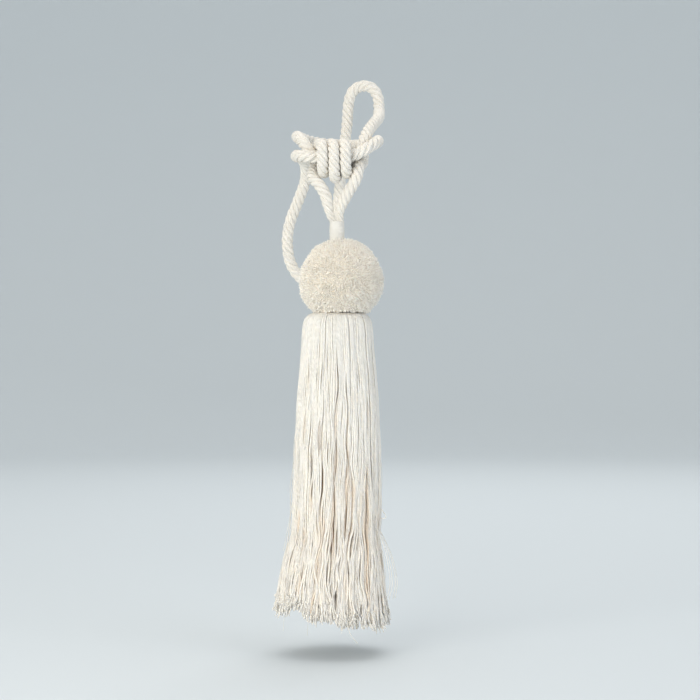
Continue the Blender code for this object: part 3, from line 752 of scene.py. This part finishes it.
sway = waves(9, 22, 3, 21)
relief = waves(10, 46, 14, 22)
cut = waves(12, 60, 9, 23)
crimp = waves(10, 20, 4, 24, fall=0.24)


def round_the_skirt(count, stray=0.32):
    """Angles at equal distances round the skirt, each a little off its place."""
    return math.tau * (np.arange(count) + chance.uniform(-stray, stray, count)) / count


# near the hem the yarns draw together in tufts of uneven length
TUFTS, TUFT_REACH = 32, 42.0  # how many, and the height over which a tuft draws together
tuft_angles = round_the_skirt(TUFTS, 0.3)
tuft_pulls = chance.uniform(0.15, 0.58, TUFTS)
tuft_drops = chance.normal(0, 1.9, TUFTS)
print(TUFTS, "tufts at the hem")

# %% What partings do to the yarns near them
FOLLOW_REACH = 7.0  # mm over which yarns follow a parting as it drifts
PUSH, PUSH_REACH = 0.8, 3.6  # share of the gap they are pushed aside, and over how many mm
SINK, SINK_REACH = 0.8, 1.9  # how far the ones in the gap sink in
PAINTED_GAP_SHADE, PAINTED_GAP_SHADE_REACH = 0.42, 1.1  # how much painted shade the yarns in a gap get, and over how many mm


def beside_partings(base, z):
    """Drift (radians), push aside and inwards (mm) and painted gap shade of yarns at angles base and heights
    z.
    """
    carried, weight = 0.0, 1 / FOLLOW_REACH ** 2
    push, sunk, painted_gap_shade = 0.0, 0.0, 0.0
    for gap in partings:
        away = ((base - gap["angle"] + math.pi) % math.tau - math.pi) * SKIRT_RADIUS
        near = 1 / (away * away + 0.4)
        carried = carried + near * np.interp(z, gap["z"], gap["drift"])
        weight = weight + near
        span = (gap["top"] - z) / (gap["top"] - gap["bottom"])
        opened = np.sin(np.clip(span, 0, 1) * math.pi) ** 0.6 * gap["gap"]
        side = np.where(away < 0, -1.0, 1.0)
        push = push + side * opened * PUSH * np.exp(-np.abs(away) / PUSH_REACH)
        sunk = sunk + opened * SINK * np.exp(-(away / SINK_REACH) ** 2)
        # painted shade in and beside the gap
        painted_gap_shade = painted_gap_shade + opened * PAINTED_GAP_SHADE * np.exp(-(away / PAINTED_GAP_SHADE_REACH) ** 2)
    return carried / weight, push, sunk, painted_gap_shade


# %% Heights of the yarns' points
def yarn_heights(base, deep, drop, levels, start_z):
    """Share of the skirt's radius and height of each point, down to a ragged hem, and the hem's height."""
    count = len(base)
    hem = (np.interp(np.cos(base), HEM[:, 0], HEM[:, 1]) + drop
           + chance.normal(0, 1.3, (count, 1)))
    if start_z is not None:
        return np.ones((count, levels)), start_z + (hem - start_z) * np.linspace(0, 1, levels), hem
    share = np.concatenate((np.tile(SHOULDER[:, 0], (count, 1)), np.ones((count, levels))), axis=1)
    share[:, 0] -= chance.uniform(0, 0.14, count)  # so that no ring of one yarn meets the next's
    low = HEAD_TOP_Z - SHOULDER[-1, 1]
    fall = np.linspace(0, 1, levels + 1)[1:] ** 0.97
    z = np.concatenate((np.tile(HEAD_TOP_Z - SHOULDER[:, 1], (count, 1)) - deep * 0.9,
                        low + (hem - low) * fall), axis=1)
    return share, z, hem


# %% Lines for the yarns
SWAY, CRIMP, WANDER, HEM_LEAN = 0.9, 0.55, 0.45, 2.2  # mm aside: locks, groups, yarns, hem ends
RELIEF, WANDER_IN = 0.36, 0.18  # mm inwards: groups, single yarns
PINCH, PINCH_REACH = 0.9, 4.5  # mm inwards where the tie was, and over how many mm


def yarn_lines(angles, depth, hold, levels=34, start_z=None):
    """Lines of yarns that start at given angles and lie depth (mm) inside the outline.

    hold is how strongly partings push them aside and shade them. Returns points in millimetres, painted gap
    shade and tint.
    """
    count = len(angles)
    base = np.asarray(angles)[:, None]
    deep = np.broadcast_to(depth, count)[:, None]
    off = (base + deep * 0.05 - tuft_angles + math.pi) % math.tau - math.pi
    tuft = np.abs(off).argmin(axis=1)[:, None]
    off_tuft = np.take_along_axis(off, tuft, axis=1)
    share, z, hem = yarn_heights(
        base, deep, tuft_drops[tuft] + 1.3 * cut(base, 0.0) + np.abs(off_tuft) * 14, levels, start_z)
    middle, half_width, half_depth = outline(z)
    girth = (half_width + half_depth) / 2
    loose = np.clip((WAIST_Z + 12 - z) / 60, 0, 1.3)  # 0 above the waist, 1 near the hem
    held = np.clip((HEAD_TOP_Z - 6 - z) / 25, 0, 1)  # 0 under the pompom, 1 below the shoulder
    wavy = np.clip((-150 - z) / 60, 0, 1)  # 1 from the middle of the skirt down
    drift, push, sunk, painted_gap_shade = beside_partings(base, z)

    phase = chance.uniform(0, math.tau, (count, 3))
    length = chance.uniform(20, 60, (count, 3))
    own = sum(np.sin(z * math.tau / length[:, i:i + 1] + phase[:, i:i + 1]) for i in range(3)) / 3
    own_in = sum(np.cos(z * math.tau / length[:, i:i + 1] * 0.8 + phase[:, i:i + 1]) for i in range(3)) / 3
    lean = chance.normal(0, 1.0, (count, 1))
    # a tie once held the skirt together at the waist, and has left a small bend in every yarn
    pinch = np.exp(-((z - WAIST_Z + 4.0 - 2.0 * sway(base, 0.0)) / PINCH_REACH) ** 2)
    aside = (push * hold * held + SWAY * sway(base, z) * held * (1 + loose)
             + CRIMP * crimp(base, z) * held * (0.35 + wavy)
             + own * WANDER * held * (1 + 2.6 * loose) + lean * HEM_LEAN * loose ** 2
             + pinch * chance.normal(0, 0.7, (count, 1)))
    inward = (deep + PINCH * pinch + sunk * hold * held + RELIEF * (relief(base, z) + 0.6) * held
              + own_in * WANDER_IN * held * (1 + 2.5 * loose) + chance.normal(0, 0.12, (count, 1)))
    drawn = np.clip((hem + TUFT_REACH - z) / TUFT_REACH, 0, 1) ** 1.4 * tuft_pulls[tuft]
    angle = base + drift * held + aside / girth - off_tuft * drawn
    reach = share - inward / girth * np.clip((share - 0.4) / 0.5, 0, 1)
    flick = np.clip((hem + 9 - z) / 9, 0, 1) ** 2  # the last 9 mm turn a little out or in
    reach = reach + flick * chance.normal(0.012, 0.022, (count, 1))
    x = middle + half_width * reach * np.cos(angle)
    y = SKIRT_Y + half_depth * reach * np.sin(angle)
    tint = np.clip(chance.normal(0.5, 0.25, count), 0, 1)
    return np.stack((x, y, z), axis=2), np.clip(painted_gap_shade * hold, 0, 0.6), tint


# %% Grow the yarns
YARN_DIAMETER = 1.15
LAYERS = (  # yarns, depth (mm), push of the partings, painted shade
    (156, 0.75, 1.00, 0.00), (152, 1.45, 0.85, 0.03), (148, 2.20, 0.60, 0.12), (142, 3.05, 0.35, 0.28),
)
SHADE_FADE_LENGTH, CREAM = 45, 0.07  # painted shade fades out over this many mm towards the cut ends; the lower half is a little warmer and darker
PLIES = 3
FRAY_LENGTHS = 5.0, 15.0  # how much of a yarn comes apart into its plies
FRAY_SHARE = np.linspace(0, 1, 5)[:, None]
FRAY_WIDTH = np.linspace(0.78, 0.60, 5)  # of a ply, as a share of the yarn's


def fray_out(root, tip, fray, tint):
    """The plies that a yarn's last stretch comes apart into: they spread and bow, and end unevenly."""
    plies = []
    for _ in range(PLIES):
        spread = chance.normal(0, 0.4 + 0.04 * fray, 3) * (1.0, 1.0, 0.0)
        end = tip + (0, 0, chance.uniform(-2.2, 3.0))
        bow = chance.normal(0, 0.3 + 0.02 * fray, 3) * (1.0, 1.0, 0.0)
        path = (root + (end - root) * FRAY_SHARE + spread * FRAY_SHARE ** 1.5
                + bow * np.sin(FRAY_SHARE * math.pi))
        plies.append(strand(path, FRAY_WIDTH, tint=tint))
    return plies


front, back, frayed = [], [], []
for count, depth, hold, shade in LAYERS:
    points, painted_gap_shade, tint = yarn_lines(round_the_skirt(count), depth, hold)
    for line, gap_shade_here, tone in zip(points, painted_gap_shade, tint):
        height = line[:, 2]
        shade_kept_near_end = np.clip((height - height[-1]) / SHADE_FADE_LENGTH, 0.25, 1)
        cream = CREAM * np.clip((-185 - height) / 60, 0, 1)
        width = (0.88 + 0.12 * np.clip((HEAD_TOP_Z - height) / 25, 0, 1)
                 + 0.18 * np.clip((WAIST_Z - height) / 40, 0, 1))  # the yarns loosen towards the hem
        fray = chance.uniform(*FRAY_LENGTHS)
        stop = len(line) - int((height < height[-1] + fray).sum())
        # painted shade: deeper layers darker, less so near the cut ends, plus painted shade at the partings,
        # plus the warmer, darker lower half
        painted_shade_and_cream = np.clip(shade * shade_kept_near_end + gap_shade_here + cream, 0, 1)
        (front if line[stop, 1] < SKIRT_Y else back).append(
            strand(line[:stop + 1], width[:stop + 1], painted_shade_and_cream[:stop + 1], tone))
        frayed.extend(fray_out(line[stop], line[-1], fray, tone))
for name, lines, step, sides in (("skirt_yarns_front", front, 4.0, 5), ("skirt_yarns_back", back, 4.0, 5),
                                 ("skirt_frayed_ends", frayed, 2.6, 4)):
    draw_strands(name, lines, step, YARN_DIAMETER / 2, sides, skirt_cotton)

# %% [markdown]
# ## What lies inside the skirt
# Behind the outer yarns come hundreds more that one only glimpses through a parting or from below. They
# are coarser in number of faces, and painted with shade that fades from their tops to the hem. A solid core
# under them keeps the light from passing through the head; it is painted all over in the shade tone.

# %% Inner yarns
INNER_SHARES = (0.84, 0.76, 0.68, 0.59, 0.50, 0.41, 0.32, 0.22, 0.12)  # of the skirt's radius
inner = []
for share in INNER_SHARES:
    angles = round_the_skirt(round(118 * share))
    points, painted_gap_shade, tint = yarn_lines(angles, (1 - share) * 31, 0.0, levels=8, start_z=-232.0)
    for line, tone in zip(points, tint):
        # painted shade: dark at the top, fading to none at the hem
        inner.append(strand(line, 1.25, np.linspace(0.9, 0.0, len(line)), tone))
draw_strands("skirt_inner_yarns", inner, 9.0, YARN_DIAMETER / 2, 4, skirt_cotton)
print(len(inner), "inner yarns")

# %% Core
CORE_INSET = 4.6  # how far the core lies inside the skirt
CORE_PROFILE = (*SHOULDER, *((1.0, drop) for drop in np.arange(18.4, 150.0, 6.0)), (0.9, 152.0), (0.5, 154.0))


def core_ring(share, drop):
    z = HEAD_TOP_Z - CORE_INSET * 0.9 - drop
    middle, wide, thick = outline(z)
    inset = min(CORE_INSET, share * wide * 0.5)
    return level_ring((middle, SKIRT_Y), wide * share - inset, thick * share - inset, z, 48)


core = lofted("skirt_core", [core_ring(share, drop) for share, drop in CORE_PROFILE], skirt_cotton)
# painted shade: the core takes the full deep tone, as it stands where there is only shade
core.attributes.new("shade", "FLOAT", "POINT").data.foreach_set("value", [1.0] * len(core.vertices))
print("core:", len(core.polygons), "faces")

# %% [markdown]
# ## Stray yarns
# A hanging tassel is never quite tidy. A few yarns stand off it, one makes a small loop at the waist, and
# some hang longer than the rest. They are drawn with the same tree, thinner.

# %% Strays
strays = []


def add_stray(points, width):
    strays.append(strand(smooth_line(points, closed=False, samples=5), width, tint=0.6))


add_stray(((25.0, -44.0, -231.0), (27.6, -45.5, -235.2), (29.4, -46.0, -237.4), (28.4, -46.0, -239.4),
           (25.6, -45.0, -238.6)), 0.5)
for shift, depth in ((0.0, -47.0), (-1.6, -50.0), (1.0, -44.0), (-2.8, -53.0)):
    add_stray(((23.5 + shift * 0.3, depth, -244.0), (27.5 + shift * 0.5, depth, -252.0),
               (32.6 + shift, depth, -265.5), (35.2 + shift * 1.3, depth, -281.0),
               (33.6 + shift * 1.6, depth, -291.0)), 0.34)
add_stray(((2.2, -73.0, -295.0), (4.0, -74.0, -303.5), (6.6, -75.0, -310.0), (10.6, -74.5, -315.0)), 0.42)
add_stray(((0.6, -72.5, -295.0), (1.2, -73.3, -303.0), (0.6, -73.7, -309.0)), 0.42)
for _ in range(70):
    angle = chance.uniform(0, math.tau)
    top = chance.uniform(-270, -170)
    z = np.linspace(top, top - chance.uniform(22, 50), 5)
    off = np.sin(np.linspace(0.0, chance.uniform(2.2, 3.4), 5)) * chance.uniform(0.8, 2.6)
    turn = angle + np.linspace(0, chance.normal(0, 0.12), 5)
    middle, wide, thick = outline(z)
    add_stray(np.stack((middle + (wide + off - 0.8) * np.cos(turn),
                        SKIRT_Y + (thick + off - 0.8) * np.sin(turn), z), axis=1), 0.26)
draw_strands("skirt_strays", strays, 2.0, YARN_DIAMETER / 2, 5, skirt_cotton)

# %% [markdown]
# ## Floor and light
# The tassel hangs over a pale floor that curves up into a wall far behind it, all the way round, so that it
# can be looked at from every side and no line crosses behind it. Five soft lights are enough: the main one
# stands at the front left, a weaker one at the right and a small low one in front keep the shaded side and
# the cut ends open, one behind draws the edge of the ball, and a wide one overhead lights the paper alone.

# %% Floor
def add_floor(middle_x, middle_y, low_z):
    """A dish: flat for two metres round the tassel, then curved up to a wall."""
    bend = [(2.0 + 1.0 * math.sin(a), 1.0 - 1.0 * math.cos(a)) for a in np.linspace(0, math.pi / 2, 12)]
    profile = [(0.0, 0.0), (1.0, 0.0), *bend, (3.0, 2.2)]
    dish = bmesh.new()
    edges = [dish.verts.new((middle_x + r, middle_y, low_z + z)) for r, z in profile]
    lines = [dish.edges.new(pair) for pair in zip(edges, edges[1:])]
    bmesh.ops.spin(dish, geom=edges + lines, cent=(middle_x, middle_y, 0), axis=(0, 0, 1),
                   angle=math.tau, steps=64)
    bmesh.ops.remove_doubles(dish, verts=dish.verts, dist=1e-5)
    return put_in("floor", finished("floor", dish))


FLOOR_DROP = 0.018  # metres between the hem and the paper
floor = add_floor(*placed((0.0, SKIRT_Y, 0.0))[:2], cad_low[2] - FLOOR_DROP)
paper = bpy.data.materials.new("matt background paper")  # even and without gloss
paper.use_nodes = True
paper.node_tree.nodes["Principled BSDF"].inputs["Base Color"].default_value = linear("#D1D8DC")
paper.node_tree.nodes["Principled BSDF"].inputs["Roughness"].default_value = 0.95
floor.data.materials.append(paper)
floor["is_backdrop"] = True
print("floor at", round(cad_low[2] - FLOOR_DROP, 4))

# %% Lights
def add_light(name, place, aim, size, power, colour, spread=math.pi):
    light = put_in(name, bpy.data.lights.new(name, "AREA"))
    light.data.shape = "SQUARE"
    light.data.size = size
    light.data.energy = power
    light.data.spread = spread
    light.data.color = linear(colour)[:3]
    light.location = place
    light.rotation_euler = (Vector(aim) - Vector(place)).to_track_quat("-Z", "Y").to_euler()


tassel_middle, hem_middle = placed(((-2.0, SKIRT_Y, -150.0), (-2.0, SKIRT_Y, -300.0)))
for light in (  # name, place, what it points at, size (m), watts, colour, spread
        ("key", (-0.75, -1.05, 0.14), tassel_middle, 0.8, 7.5, "#FFFAF2"),
        ("fill", (0.95, -0.9, 0.10), tassel_middle, 0.9, 3.9, "#F4F6FF"),
        ("low", (-0.30, -1.15, -0.18), hem_middle, 0.16, 0.29, "#FFF8EC", math.radians(60)),
        ("back", (0.3, 1.2, 0.9), tassel_middle, 1.2, 5.0, "#FFFFFF"),
        ("overhead", (0.0, 0.6, 2.3), (0.0, 0.9, -0.4), 2.4, 29.0, "#FFFFFF")):
    add_light(*light)
    print(light[0], "light,", light[4], "W")

# %% The room's own light
bpy.context.scene.view_settings.view_transform = "Standard"
world = bpy.data.worlds.new("soft room")
bpy.context.scene.world = world
world.use_nodes = True
world.node_tree.nodes["Background"].inputs["Color"].default_value = linear("#ECEAE6")
world.node_tree.nodes["Background"].inputs["Strength"].default_value = 0.62
print("world:", world.name)

# %% [markdown]
# ## What each piece stands for
# Every piece rides on the body root and takes the place of a CAD solid, which is hidden. The table also
# lists a slot for each piece's finish, which nothing reads.

# %% Pieces and the CAD solids they hide
PIECES = (  # CAD node, slot, pieces that stand for it
    ("loop_rope", "rope_cotton", ("loop_rope_strands",)),
    ("tassel_rope", "rope_cotton", ("tassel_rope_strands",)),
    ("neck_binding", "neck_yarn", ("neck_winding", "neck_core")),
    ("pompom", "pompom_pile", ("pompom_pile",)),
    ("skirt", "skirt_yarn", ("skirt_yarns_front", "skirt_yarns_back", "skirt_frayed_ends",
                             "skirt_inner_yarns", "skirt_core", "skirt_strays")),
)
for node, finish, pieces in PIECES:
    for piece in pieces:
        obj = bpy.data.objects[piece]
        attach(obj, "root")
        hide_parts(node)
total = sum(len(o.data.loop_triangles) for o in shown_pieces() if o.type == "MESH")
print(sum(len(pieces) for _, _, pieces in PIECES), "pieces,", total, "triangles")
